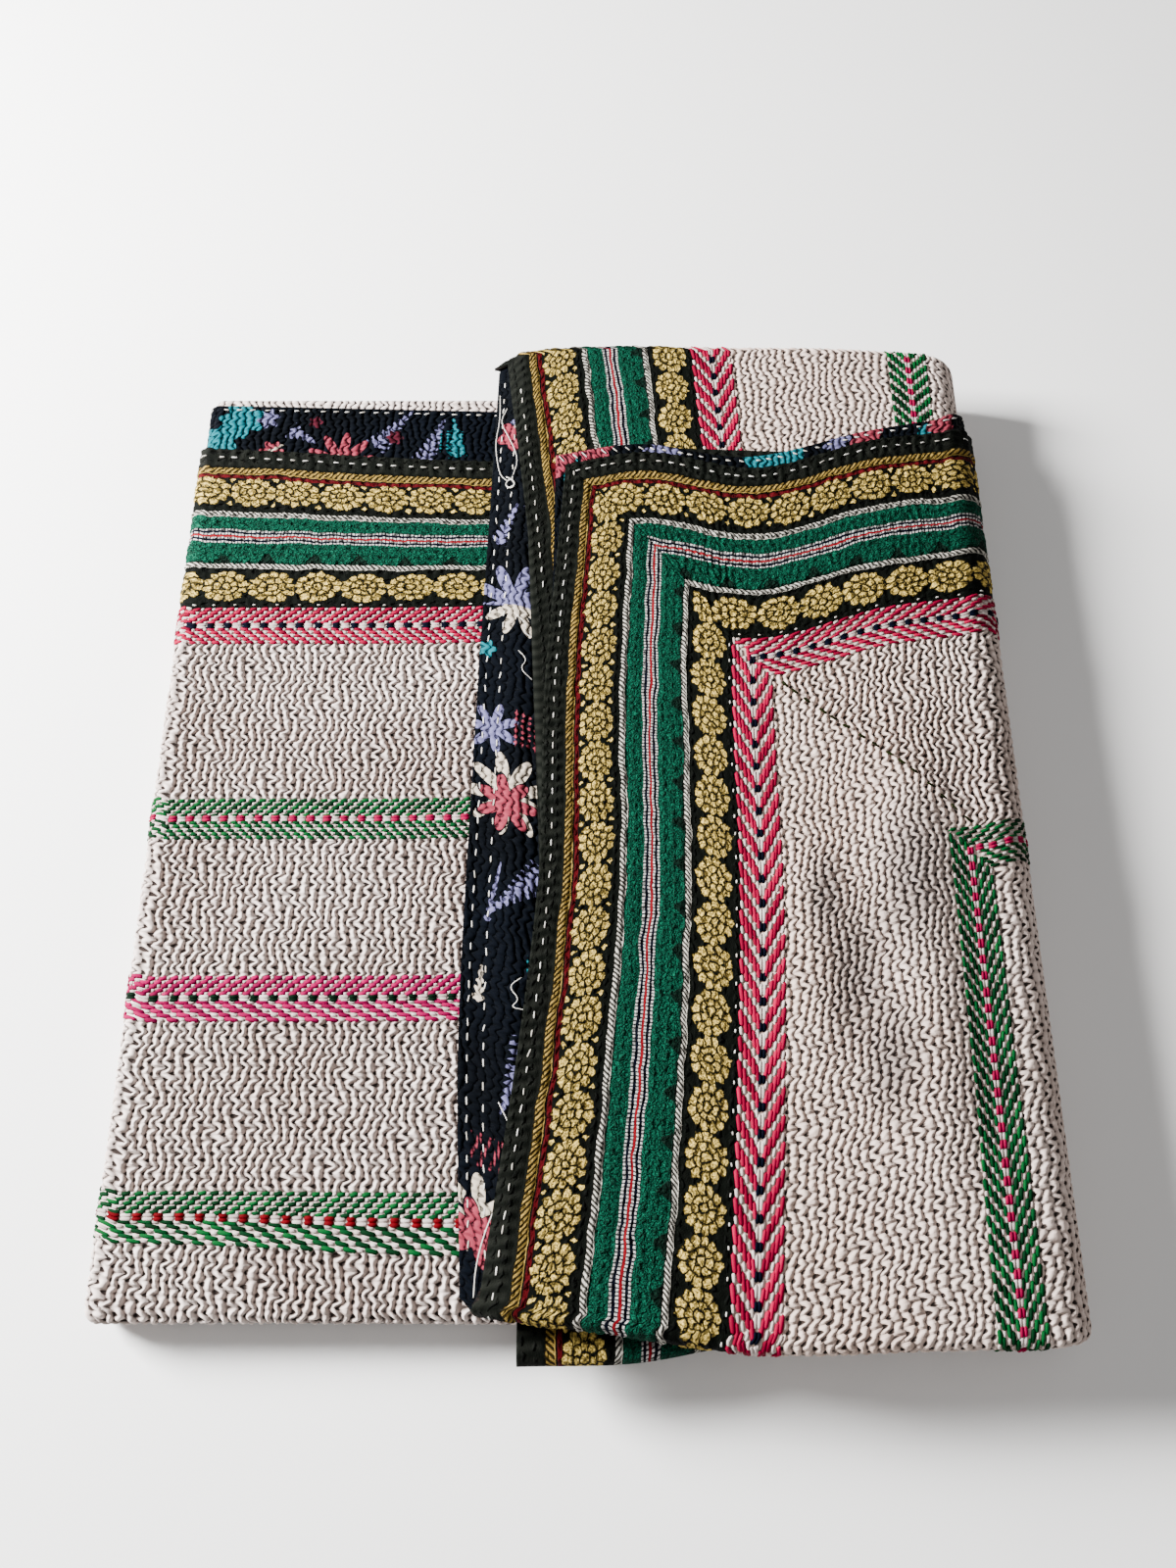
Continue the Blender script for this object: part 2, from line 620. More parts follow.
# %% [markdown]
# ## The cotton: cream front, printed lining
#
# The front is old plain-weave cotton, soft and matt, washed to a pinkish cream that
# is never quite even. Each stitch goes in and comes out through a small hole, and
# those holes read as rows of dark dots. The lining is a dark printed cotton. Its
# flowers come as distances to their outlines, worked out below on the mesh points,
# so that their edges stay crisp between points.


# %% Cotton material
def within(add, value, low, high, soft):
    """1 where low < value < high, with edges this soft: a ramp on the distance from the middle."""
    away = add("Math", add("Math", value, (low + high) / 2, operation="SUBTRACT"), operation="ABSOLUTE")
    return add("MapRange", away, (high - low) / 2 + soft, (high - low) / 2 - soft)


def periodic(add, value, period):
    """The value's distance from the middle of its cell of this length."""
    cell = add("Math", add("Math", value, 1 / period, operation="MULTIPLY"), operation="FRACT")
    return add("Math", add("Math", cell, 0.5, operation="SUBTRACT"), period, operation="MULTIPLY")


def length_of(add, vector):
    """The vector's length."""
    return add("VectorMath", vector, operation="LENGTH").node.outputs["Value"]


def tint(add, share, factor, first, second):
    """first, turned towards second by factor times a constant share."""
    return add("Mix", add("Math", factor, share, operation="MULTIPLY"), first, second, data_type="RGBA")


def wave_nodes(add, table, place):
    """The same sum of sines as waves(), of a place (a, b, 0)."""
    total = 0.0
    for size, per_a, per_b, start in table:
        angle = add("VectorMath", place, (per_a, per_b, 0), operation="DOT_PRODUCT").node.outputs["Value"]
        sine = add("Math", add("Math", angle, start, operation="ADD"), operation="SINE")
        total = add("Math", sine, size, total, operation="MULTIPLY_ADD")
    return total


def odd_nodes(add, first, second):
    """1 where the sum of these two whole numbers is odd, and 0 where it is even."""
    return add("Math", add("Math", first, second, operation="ADD"), 2.0, operation="FLOORED_MODULO")


def ripple_nodes(add, flat):
    """(ridge height, pit depth, power), by the same rule as ripple()."""
    u, v, _ = add("SeparateXYZ", flat).node.outputs
    rows = add("Math", v, ROW, operation="DIVIDE")
    row, share = add("Math", rows, operation="FLOOR"), add("Math", rows, operation="FRACT")
    next_row = add("Math", row, 1.0, operation="ADD")
    below, above = (wave_nodes(add, ROW_WAVES, add("CombineXYZ", u, n)) for n in (row, next_row))
    inward = add("Math", u, v, operation="SUBTRACT")
    calm, sink, power = (add("MapRange", inward, *MITRE, *pair) for pair in (CALMS, SINKS, POWERS))
    zigzag = add("Mix", share, below, above)
    offset = add("Math", zigzag, calm, wave_nodes(add, LEAN_WAVES, flat), operation="MULTIPLY_ADD")
    count = add("Math", u, 1 / STITCH, offset, operation="MULTIPLY_ADD")
    nearest_row = add("Math", rows, operation="ROUND")
    from_row = add("Math", add("Math", rows, nearest_row, operation="SUBTRACT"), ROW, operation="MULTIPLY")
    from_valley = add("Math", add("Math", add("Math", count, operation="FRACT"), 0.5, operation="SUBTRACT"),
                      STITCH, operation="MULTIPLY")
    swing = add("Math", add("Math", count, np.pi, operation="MULTIPLY"), operation="COSINE")
    ridge = add("Math", add("Math", swing, operation="ABSOLUTE"), power, operation="POWER")
    bell = add("MapRange", add("Math", from_row, operation="ABSOLUTE"), 0.0, PIT_REACH, 1.0, 0.0)
    crossed = odd_nodes(add, nearest_row, add("Math", count, operation="ROUND"))
    dip = add("Math", add("Math", crossed, bell, operation="MULTIPLY"), sink, operation="MULTIPLY")
    ridge = add("Math", ridge, add("Math", 1.0, dip, operation="SUBTRACT"), operation="MULTIPLY")
    away = length_of(add, add("CombineXYZ", from_valley, from_row))
    deep = add("Math", odd_nodes(add, nearest_row, add("Math", count, operation="FLOOR")), 0.6, 0.4,
               operation="MULTIPLY_ADD")
    pit = add("Math", add("MapRange", away, 0.0, PIT_REACH, 1.0, 0.0), deep, operation="MULTIPLY")
    return ridge, pit, power


# Hollows of the top leaf that years of handling have browned: flat (u, v) and reach across.
HANDLED = (((0.207, 0.268), 0.027), ((0.172, 0.306), 0.024), ((0.158, 0.264), 0.015), ((0.190, 0.355), 0.020))


def cotton():
    """Quilted cotton: cream on the front, dark print on the back."""
    material, add, shader = cloth_material("old_quilted_cotton", 0.92)
    flat = add("Attribute", attribute_name="flat")
    front = add("Attribute", attribute_name="front")
    sewn = add("Attribute", attribute_name="sewn")
    ridge, pit, power = ripple_nodes(add, flat)
    hole = add("Math", add("MapRange", pit, 0.15, 0.45), sewn, operation="MULTIPLY")
    valley = add("Math", add("MapRange", ridge, 0.80, 0.10), sewn, operation="MULTIPLY")
    valley = add("Math", valley, add("MapRange", power, *POWERS, 0.35, 0.82), operation="MULTIPLY")
    patches = add("MapRange", add("TexNoise", flat, 11.0, 2.0), 0.35, 0.65)
    grain = add("TexNoise", flat, 260.0, 3.0)
    cream = add("Mix", patches, "#D2C2BA", "#B4A299", data_type="RGBA")
    by_side = add("MapRange", add("SeparateXYZ", flat), 0.40, 0.10)
    cream = tint(add, 0.7, by_side, cream, "#BC9C88")
    for (u, v), reach in HANDLED:
        worn = add("VectorMath", flat, (u, v, 0), operation="SUBTRACT")
        worn = add("VectorMath", worn, (1, 0.5, 0), operation="MULTIPLY")
        worn = add("MapRange", length_of(add, worn), reach, 0.3 * reach)
        cream = tint(add, 0.85, worn, cream, "#3C2C22")
    cream = tint(add, 0.35, grain, cream, "#E2D6D1")
    under_tape = add("MapRange", add("SeparateXYZ", flat).node.outputs["Z"], 0.1115, 0.1105)
    cream = tint(add, 1.0, under_tape, cream, "#0A0A08")
    cream = tint(add, 0.85, valley, cream, "#4A3C36")
    cream = tint(add, 0.95, hole, cream, "#17100E")

    print_a = add("SeparateXYZ", add("Attribute", attribute_name="print_a")).node.outputs
    print_b = add("SeparateXYZ", add("Attribute", attribute_name="print_b")).node.outputs
    dye = add("Mix", patches, "#020409", "#010204", data_type="RGBA")
    for distance, colour in zip((print_a[0], print_b[0], print_a[1], print_a[2], print_b[1]),
                                ("#525070", "#0A545C", "#702834", "#9C9182", "#340C16")):
        dye = tint(add, 1.0, add("MapRange", distance, 0.0, -0.0003), dye, colour)
    dye = tint(add, 0.35, valley, dye, "#05070B")
    dye = tint(add, 0.70, hole, dye, "#05070B")

    height = add("Math", add("Math", grain, 0.35, operation="MULTIPLY"), hole, operation="SUBTRACT")
    height = add("Math", ridge, sewn, height, operation="MULTIPLY_ADD")
    finish_material(material, shader, add("Mix", front, dye, cream, data_type="RGBA"), height, 0.0015)
    return material


COTTON = cotton()

# %% [markdown]
# ## The print on the lining
#
# A small all-over print of the common kind: star-shaped flowers, open lotus-like
# blossoms, checked patches and comb-leaved fronds on a dark ground. Each motif is a
# signed distance: negative inside its outline. Overlapping motifs of one dye are
# joined by taking the smaller distance.


# %% Motifs as signed distances
def blossom(u, v, centre, radius, petals, turn=0.0, slim=0.5):
    """Pointed petals round a centre: the outline's radius swings from slim to 1 as a power of a cosine."""
    x, y = u - centre[0], v - centre[1]
    r, angle = np.hypot(x, y), np.arctan2(y, x) + turn
    outline = radius * (slim + (1 - slim) * np.abs(np.cos(petals * angle / 2)) ** 1.3)
    return r - outline


def frond(u, v, start, direction, length, reach):
    """A stem with leaflets: the reach to each side rises and falls along it like a saw."""
    x, y = u - start[0], v - start[1]
    c, s = np.cos(direction), np.sin(direction)
    ahead, aside = x * c + y * s, np.abs(-x * s + y * c)
    saw = np.mod((ahead - 0.6 * aside) / 0.0045, 1)
    width = 0.0007 + reach * (saw < 0.55) * np.clip(1 - ahead / length, 0, 1)
    return np.maximum(aside - width, np.maximum(-ahead, ahead - length))


def checked(u, v, centre, half, cell=0.0021):
    """A patch of small squares, every other one filled."""
    x, y = u - centre[0], v - centre[1]
    box = np.maximum(np.abs(x), np.abs(y)) - half
    tiles = np.abs(np.mod(x / cell, 1) - 0.5) + np.abs(np.mod(y / cell, 1) - 0.5) - 0.42
    return np.maximum(box, tiles * cell)


# %% Where the motifs are
def nearest(*distances):
    """The smallest of these distances at each point, which joins the motifs of one dye."""
    return np.minimum.reduce(distances)


def print_layers(lilac, pink, cream, teal, rust):
    """The five dyes' distances as two vectors at each point. The second one's last number isn't used."""
    first, second = (np.stack(layers, axis=1) for layers in ((lilac, pink, cream), (teal, rust, teal)))
    return {"print_a": first, "print_b": second}


def top_lining_print(u, v, length):
    """The long strip of lining beside the top leaf: u from its hem, v from the taped end."""
    flower, fern, check = (partial(motif, u, v) for motif in (blossom, frond, checked))
    lilac = nearest(
        np.maximum(flower((0.018, 0.842), 0.026, 9, 0.1, 0.30), 0.840 - v),
        flower((0.010, 0.764), 0.015, 7, 0.5, 0.3),
        flower((0.034, 0.905), 0.014, 6, 0.1, 0.3), flower((0.026, 0.965), 0.017, 8, 0.0, 0.3),
        fern((0.040, 0.690), -2.3, 0.040, 0.0085), fern((0.034, 0.600), -1.9, 0.042, 0.0080),
        fern((0.012, 0.655), 1.4, 0.034, 0.0014), fern((0.006, 0.880), 1.2, 0.030, 0.0050),
    )
    pink = nearest(
        flower((0.019, 0.7215), 0.0165, 7, 0.9, 0.40), flower((0.0085, 0.501), 0.0155, 6, 0.3, 0.45),
        check((0.031, 0.766), 0.0110, 0.0034), check((0.0145, 0.540), 0.0085),
        flower((0.046, 0.932), 0.014, 6, 0.3, 0.7), flower((0.012, 0.955), 0.011, 5, 0.3, 0.6),
    )
    cream = nearest(
        np.maximum(flower((0.0195, 0.727), 0.024, 9, 0.3, 0.35),
                   -flower((0.019, 0.7215), 0.0175, 7, 0.9, 0.40)),
        np.maximum(flower((0.020, 0.842), 0.021, 9, 0.5, 0.30), v - 0.841),
        fern((0.009, 0.612), 1.5, 0.020, 0.0030),
        np.maximum(flower((0.010, 0.509), 0.020, 7, 0.2, 0.3),
                   -flower((0.0085, 0.501), 0.0165, 6, 0.3, 0.45)),
    )
    teal = nearest(
        flower((0.004, 0.812), 0.006, 5), flower((0.043, 0.905), 0.011, 6, 0.2, 0.7),
        check((0.036, 0.640), 0.005), flower((0.040, 0.560), 0.007, 5),
    )
    return print_layers(lilac, pink, cream, teal, np.ones_like(teal))


def far_lining_print(u, v, length):
    """The lining beyond the tape, beside the far edges: u from the left fold, w from the other end."""
    w = length - v
    left = u - LEAF_STARTS[4]
    flower, fern, check = (partial(motif, left, w) for motif in (blossom, frond, checked))
    edge_flower = partial(blossom, u, w)
    teal = nearest(
        flower((0.0135, 0.011), 0.0145, 7, 0.4, 0.6), flower((0.002, 0.026), 0.012, 6, 0.4, 0.6),
        check((0.146, 0.024), 0.008), fern((0.150, 0.036), -1.7, 0.030, 0.006),
        edge_flower((0.142, 0.006), 0.022, 5, 0.1, 0.7), edge_flower((0.010, 0.012), 0.010, 6, 0.2, 0.6),
        edge_flower((0.246, 0.008), 0.006, 6, 0.2, 0.6),
    )
    pink = nearest(
        flower((0.078, 0.042), 0.023, 10, 0.2, 0.35), flower((0.034, 0.034), 0.008, 6),
        edge_flower((0.004, 0.004), 0.013, 6, 0.3, 0.7), edge_flower((0.026, 0.002), 0.013, 5, 0.3, 0.7),
        edge_flower((0.206, 0.005), 0.012, 6, 0.3, 0.7), edge_flower((0.256, 0.004), 0.010, 6, 0.3, 0.7),
    )
    lilac = nearest(
        fern((0.098, 0.030), -0.9, 0.036, 0.0075), fern((0.044, 0.018), 0.5, 0.020, 0.0060),
        fern((0.128, 0.040), -1.2, 0.036, 0.0070), flower((0.030, 0.010), 0.008, 6, 0.3, 0.35),
        edge_flower((0.070, 0.005), 0.013, 6, 0.1, 0.4), edge_flower((0.186, 0.004), 0.010, 6, 0.1, 0.4),
    )
    cream = nearest(flower((0.078, 0.043), 0.008, 7, 0.1, 0.4), fern((0.028, 0.038), -0.6, 0.016, 0.002))
    rust = nearest(flower((0.110, 0.022), 0.006, 6), flower((0.060, 0.012), 0.005, 5))
    return print_layers(lilac, pink, cream, teal, rust)


# %% The pieces of the quilt
ALONG_PANEL = spans((0, 0.012, 5), (0.012, 0.225, 20), (0.225, 1, 310), (1, 2, 16))
FOLDED_PARTS = ((5, 6, 6), (6, 6.86, 10))
QUILT_PIECES = (
    # the four that show from above
    cloth_piece("quilt_left_panel", spans((3, 4, 22), (4, 4.46, 232), (4.46, 4.56, 4)),
                ALONG_PANEL, True, COTTON),
    cloth_piece("quilt_top_panel",
                spans((0, 0.02, 6), (0.02, 0.42, 24), (0.42, 1, 178), (1, 1.6, 42), (1.6, 2, 8)),
                ALONG_PANEL, True, COTTON),
    cloth_piece("quilt_top_lining", spans((0, 0.03, 8), (0.03, 0.24, 58), (0.24, 1, 20), (1, 2, 12)),
                spans((2, 2.2, 60), (2.2, 3, 300)), False, COTTON, top_lining_print),
    cloth_piece("quilt_top_far", spans((0, 0.02, 4), (0.02, 0.42, 24), (0.42, 1.2, 195), (1.2, 2, 8)),
                spans((3, 4, 10), (4, 4.24, 90), (4.24, 5, 10), *FOLDED_PARTS), True, COTTON),
    # the last few centimetres, whose lining shows
    cloth_piece("quilt_top_end", spans((0, 0.02, 6), (0.02, 1.2, 190), (1.2, 2, 8)),
                spans((6.86, 6.95, 8), (6.95, 7, 26)), False, COTTON, far_lining_print),
    cloth_piece("quilt_left_end", spans((3, 4, 12), (4, 4.48, 150)),
                spans((6.86, 6.9, 4), (6.9, 7, 44)), False, COTTON, far_lining_print),
    # the ones underneath
    cloth_piece("quilt_underside", spans((2, 3, 16)),
                spans((0, 0.03, 4), (0.03, 1, 22), (1, 2, 8)), True, COTTON),
    cloth_piece("quilt_inside", spans((4.56, 5, 8), (5, 6, 8), (6, 7, 24)),
                spans((0, 0.03, 4), (0.03, 1, 22), (1, 2, 10)), True, COTTON),
    cloth_piece("quilt_left_far", spans((2, 3, 16), (3, 4, 12), (4, 5, 18), (5, 6, 8), (6, 7, 24)),
                spans((2, 3, 24), (3, 4, 10), (4, 5, 14), *FOLDED_PARTS), True, COTTON),
    cloth_piece("quilt_under_end", spans((2, 3, 16)), spans((6.86, 7, 8)), True, COTTON),
    cloth_piece("quilt_inside_end", spans((4.48, 5, 8), (5, 6, 8), (6, 7, 24)),
                spans((6.86, 7, 8)), True, COTTON),
)
for piece in QUILT_PIECES:
    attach(piece, "root")
    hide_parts("quilt")

# %% [markdown]
# ## The border tape
#
# A woven tape, 11 cm wide, is sewn along all four edges and mitred at the corners.
# Across its width run a gold cord, a dark red line, a row of gold rosettes, a white
# cord, green looped pile, a narrow dashed band, more pile, a second white cord and a
# second row of rosettes. The cords and rosettes stand up from the ground. The single
# threads are too fine for the mesh, so they are colour and bump.

# %% Tape material
CORDS_MM = ((13.2, 17.6), (45.0, 48.4), (81.3, 84.6))       # in from the outer edge
PILE_MM = ((49.0, 57.6), (67.0, 81.0))
ROSETTES_MM = (30.9, 97.3)
ROSETTE_PITCH_MM = 22.7
ROSETTE_REACH_MM = (11.5, 10.2)                              # along the tape, and across it
ROSETTE_SHIFT_MM = 8.0          # how far the second row of rosettes starts further on
ROSETTE_PARTING_MM = 64.0       # the two rows are parted here
MARGIN_MM, PUCKER_MM = 12.3, 6.4        # the plain margin, and from one of its puckers to the next
DENT_ROW_MM, DENT_MM = 5.6, 6.2         # dents of the quilting stitches: between rows, and along one
END_TAPE_STRETCH = 1.2          # the tape along the ends is woven this much longer
GROUND, WHITE, GREEN, NAVY = "#040503", "#B4AFA4", "#02251A", "#020410"
BANDS = ((0, GROUND), (13.2, "#94793A"), (17.6, GROUND), (18.8, "#42040A"), (21.0, GROUND), (45.0, WHITE),
         (48.4, "#040A07"), (49.0, GREEN), (57.6, NAVY), (61.8, "#6E0814"), (63.1, NAVY),
         (67.0, GREEN), (81.0, "#040A07"), (81.3, WHITE), (84.6, GROUND))


def petals(add, angle, turn, count, gap):
    """1 on each of this many petals round the circle, and 0 in the gaps between them."""
    at = add("Math", add("Math", angle, count, turn, operation="MULTIPLY_ADD"), operation="FRACT")
    return within(add, at, gap / 2, 1 - gap / 2, 0.05)


def rosette(add, x, y):
    """The gold of the rosettes at x mm along and y mm in, from 0 to 1: a ring of big knots, a ring of small
    ones and a knot in the middle. The second row of rosettes starts further on."""
    second = add("Math", y, ROSETTE_PARTING_MM, operation="GREATER_THAN")
    along = add("Math", second, ROSETTE_SHIFT_MM, x, operation="MULTIPLY_ADD")
    turn = add("Math", add("Math", along, 1 / ROSETTE_PITCH_MM, operation="MULTIPLY"), operation="FLOOR")
    turn = add("Math", turn, 0.618, operation="MULTIPLY")
    middle = add("Math", second, ROSETTES_MM[1] - ROSETTES_MM[0], ROSETTES_MM[0], operation="MULTIPLY_ADD")
    px = add("Math", periodic(add, along, ROSETTE_PITCH_MM), ROSETTE_REACH_MM[0], operation="DIVIDE")
    py = add("Math", add("Math", y, middle, operation="SUBTRACT"), ROSETTE_REACH_MM[1], operation="DIVIDE")
    radius = length_of(add, add("CombineXYZ", px, py))
    angle = add("Math", add("Math", py, px, operation="ARCTAN2"), 1 / (2 * np.pi), operation="MULTIPLY")
    lobe = add("Math", add("Math", angle, 12.0, turn, operation="MULTIPLY_ADD"), operation="FRACT")
    lobe = add("Math", add("Math", lobe, 0.5, operation="SUBTRACT"), operation="ABSOLUTE")
    # the rim's radius is 1.02 at a lobe's tip and 0.89 between lobes
    rim = add("Math", lobe, -0.26, 1.02, operation="MULTIPLY_ADD")
    inside = add("MapRange", add("Math", radius, rim, operation="SUBTRACT"), 0.03, -0.03)
    outer = add("Math", add("MapRange", radius, 0.58, 0.68), add("MapRange", lobe, 0.46, 0.34),
                operation="MULTIPLY")
    outer = add("Math", outer, inside, operation="MULTIPLY")
    inner = add("Math", within(add, radius, 0.28, 0.52, 0.04), petals(add, angle, turn, 7, 0.2),
                operation="MULTIPLY")
    knot = add("MapRange", radius, 0.20, 0.14)
    return add("Math", add("Math", outer, inner, operation="MAXIMUM"), knot, operation="MAXIMUM")


def strands(add, x, y, slope, pitch):
    """Strand profile of a twisted cord, 0 between strands and 1 on them, running aslant across it."""
    laid = periodic(add, add("Math", y, slope, x, operation="MULTIPLY_ADD"), pitch)
    return add("MapRange", add("Math", laid, operation="ABSOLUTE"), pitch * 0.36, pitch * 0.20)


def woven_tape():
    """The tape's cotton: matt ground, slightly glossy gold, loose green pile."""
    material, add, shader = cloth_material("woven_border_tape", 0.82)
    tape = add("Attribute", attribute_name="tape")
    fine = add("TexNoise", tape, 0.34, 2.0).node.outputs["Color"]
    drift = add("VectorMath", fine, (0.5, 0.5, 0.5), operation="SUBTRACT")
    slack = add("TexNoise", tape, 0.06, 1.0).node.outputs["Color"]
    slack = add("VectorMath", slack, (0.5, 0.5, 0.5), operation="SUBTRACT")
    drawn = add("VectorMath", slack, (4.0, 4.0, 0), tape, operation="MULTIPLY_ADD")
    wavy = add("VectorMath", drift, (0.9, 0.9, 0), drawn, operation="MULTIPLY_ADD")
    knotted = add("VectorMath", drift, (3.6, 3.6, 0), drawn, operation="MULTIPLY_ADD")
    x, y, _ = add("SeparateXYZ", wavy).node.outputs
    kx, ky, _ = add("SeparateXYZ", knotted).node.outputs

    bands = add("ValToRGB", add("Math", y, TAPE_WIDTH * 1000, operation="DIVIDE"))
    ramp = bands.node.color_ramp
    ramp.interpolation = "CONSTANT"
    for number, (start, colour) in enumerate(BANDS):
        element = ramp.elements[0] if number == 0 else ramp.elements.new(min(start / (TAPE_WIDTH * 1000), 1))
        element.color = linear(colour)
    ramp.elements.remove(ramp.elements[-1])

    colour = bands
    speck = add("TexNoise", tape, 1.7, 2.0)
    colour = tint(add, 0.5, speck, colour, add("VectorMath", bands, (1.7, 1.7, 1.7), operation="MULTIPLY"))

    # puckers of the margin
    hem_puff = add("MapRange", add("Math", periodic(add, x, PUCKER_MM), operation="ABSOLUTE"), 2.6, 0.6)
    hem_puff = add("Math", hem_puff, add("MapRange", y, MARGIN_MM, MARGIN_MM - 1), operation="MULTIPLY")
    colour = tint(add, 0.22, hem_puff, colour, "#2C2D28")

    gold_cord = strands(add, x, y, 0.8, 2.9)
    white_cord = strands(add, x, y, -1.0, 2.5)
    between = add("Math", 1.0, gold_cord, operation="SUBTRACT")
    on_gold = within(add, y, *CORDS_MM[0], 0.15)
    ply = add("Math", 1.0, strands(add, x, y, 0.35, 0.95), operation="SUBTRACT")
    colour = tint(add, 0.55, add("Math", ply, on_gold, operation="MULTIPLY"), colour, "#5A4312")
    colour = tint(add, 0.95, add("Math", between, on_gold, operation="MULTIPLY"), colour, "#0C0A04")
    on_white = add("Math", within(add, y, *CORDS_MM[1], 0.15), within(add, y, *CORDS_MM[2], 0.15),
                   operation="ADD")
    between = add("Math", 1.0, white_cord, operation="SUBTRACT")
    colour = tint(add, 0.96, add("Math", between, on_white, operation="MULTIPLY"), colour, "#0A0A08")

    dash = add("MapRange", add("Math", periodic(add, x, 1.75), operation="ABSOLUTE"), 0.72, 0.52)
    beaded = add("Math", y, 57.25, operation="SUBTRACT")
    beaded = add("MapRange", add("Math", periodic(add, beaded, 2.6), operation="ABSOLUTE"), 0.72, 0.52)
    dash = add("Math", dash, beaded, operation="MULTIPLY")
    dash = add("Math", dash, within(add, y, 57.9, 67.0, 0.1), operation="MULTIPLY")
    colour = tint(add, 0.95, dash, colour, "#C6C2BE")

    on_pile = add("Math", within(add, y, *PILE_MM[0], 0.3), within(add, y, *PILE_MM[1], 0.3), operation="ADD")
    loops = add("TexVoronoi", knotted, 0.50, feature="DISTANCE_TO_EDGE")
    crevice = add("Math", add("MapRange", loops, 0.26, 0.05), on_pile, operation="MULTIPLY")
    colour = tint(add, 0.92, crevice, colour, "#010C08")
    curl = add("Math", add("Math", speck, 0.5, operation="SUBTRACT"), operation="ABSOLUTE")
    curl = add("MapRange", curl, 0.040, 0.012)
    colour = tint(add, 0.6, add("Math", curl, on_pile, operation="MULTIPLY"), colour, "#0E7456")
    notch = add("Math", periodic(add, x, ROSETTE_PITCH_MM), operation="ABSOLUTE")
    notch = add("MapRange", notch, ROSETTE_PITCH_MM / 2 - 6.0, ROSETTE_PITCH_MM / 2 - 0.8, 82.6, 75.0)
    bare = add("Math", add("Math", ky, notch, operation="SUBTRACT"), on_pile, operation="MULTIPLY")
    bare = add("MapRange", bare, -0.3, 0.9)
    colour = tint(add, 0.85, bare, colour, "#050806")

    gold = rosette(add, kx, ky)
    thread = add("Math", add("TexNoise", knotted, 0.62, 1.0), 0.5, operation="SUBTRACT")
    thread = add("MapRange", add("Math", thread, operation="ABSOLUTE"), 0.008, 0.030, 0.25, 1.0)
    gold = add("Math", gold, thread, operation="MULTIPLY")
    # small diamonds of gold between the first row's rosettes, near the row's two edges
    fleck_x = periodic(add, add("Math", kx, ROSETTE_PITCH_MM / 2, operation="ADD"), ROSETTE_PITCH_MM)
    fleck_x = add("Math", add("Math", fleck_x, operation="ABSOLUTE"), 1.3, operation="MULTIPLY")
    fleck_y = periodic(add, add("Math", ky, 14.1, operation="SUBTRACT"), 16.9)
    fleck = add("Math", add("Math", fleck_y, operation="ABSOLUTE"), fleck_x, operation="ADD")
    fleck = add("MapRange", fleck, 2.2, 1.6)
    fleck = add("Math", fleck, within(add, y, 21.6, 41.0, 0.1), operation="MULTIPLY")
    gold = add("Math", gold, fleck, operation="MAXIMUM")
    bright = add("MapRange", add("TexNoise", tape, 0.9, 2.0), 0.35, 0.60)
    straw = add("Mix", bright, "#60501E", "#DCBC62", data_type="RGBA")
    colour = tint(add, 1.0, gold, colour, straw)

    # dents where the quilting stitches draw the tape down
    next_row = add("Math", add("Math", y, 1 / DENT_ROW_MM, operation="MULTIPLY"), operation="FLOOR")
    shifted = add("Math", next_row, 2.7, kx, operation="MULTIPLY_ADD")
    dent_x = add("Math", periodic(add, shifted, DENT_MM), 0.55, operation="MULTIPLY")
    dent = add("CombineXYZ", dent_x, periodic(add, ky, DENT_ROW_MM))
    dent = add("MapRange", length_of(add, dent), 1.25, 0.35)
    colour = tint(add, 0.45, dent, colour, "#040404")

    height = add("Math", gold, 1.4, operation="MULTIPLY")
    cords = add("Math", gold_cord, on_gold, operation="MULTIPLY")
    cords = add("Math", white_cord, on_white, cords, operation="MULTIPLY_ADD")
    height = add("Math", add("Math", height, cords, operation="ADD"), dash, operation="ADD")
    pile = add("Math", on_pile, crevice, operation="SUBTRACT")
    height = add("Math", add("Math", pile, 1.2, height, operation="MULTIPLY_ADD"), bare, operation="SUBTRACT")
    height = add("Math", speck, 0.5, height, operation="MULTIPLY_ADD")
    height = add("Math", dent, -1.6, height, operation="MULTIPLY_ADD")
    finish_material(material, shader, colour, height, 0.0009)
    return material


TAPE = woven_tape()


# %% The four tapes
PUCKER_RISE, CORD_RISE, PILE_RISE, ROSETTE_RISE = 0.0004, 0.0007, 0.0004, 0.0008
TAPE_RIPPLE = 0.0010            # height of the quilting's ripple where it shows through the tape
KEEP_FLAT, KEEP_FOLD, KEEP_ACROSS = 6, 2, 8     # the hidden face keeps every such line and row


def tape_relief(s, inset):
    """Height of the cords, rosettes, pile and margin puckers over the tape's ground, s metres along it
    and inset metres in from its outer edge."""
    x, y = s * 1000, inset * 1000
    height = np.zeros(np.broadcast(x, y).shape)
    height += PUCKER_RISE * np.cos(np.pi * x / PUCKER_MM) ** 2 * ease(MARGIN_MM - y)
    for low, high in CORDS_MM:
        round_ = 1 - ((y - (low + high) / 2) / ((high - low) / 2)) ** 2
        height = height + CORD_RISE * np.sqrt(np.clip(round_, 0, 1))
    for low, high in PILE_MM:
        height = height + PILE_RISE * ease((y - low) / 1.5) * ease((high - y) / 1.5)
    for middle, shift in zip(ROSETTES_MM, (0.0, ROSETTE_SHIFT_MM)):
        px = (np.mod((x + shift) / ROSETTE_PITCH_MM, 1) - 0.5) * ROSETTE_PITCH_MM / ROSETTE_REACH_MM[0]
        py = (y - middle) / ROSETTE_REACH_MM[1]
        height = height + ROSETTE_RISE * np.sqrt(np.clip(1 - px ** 2 - py ** 2, 0, 1))
    return height


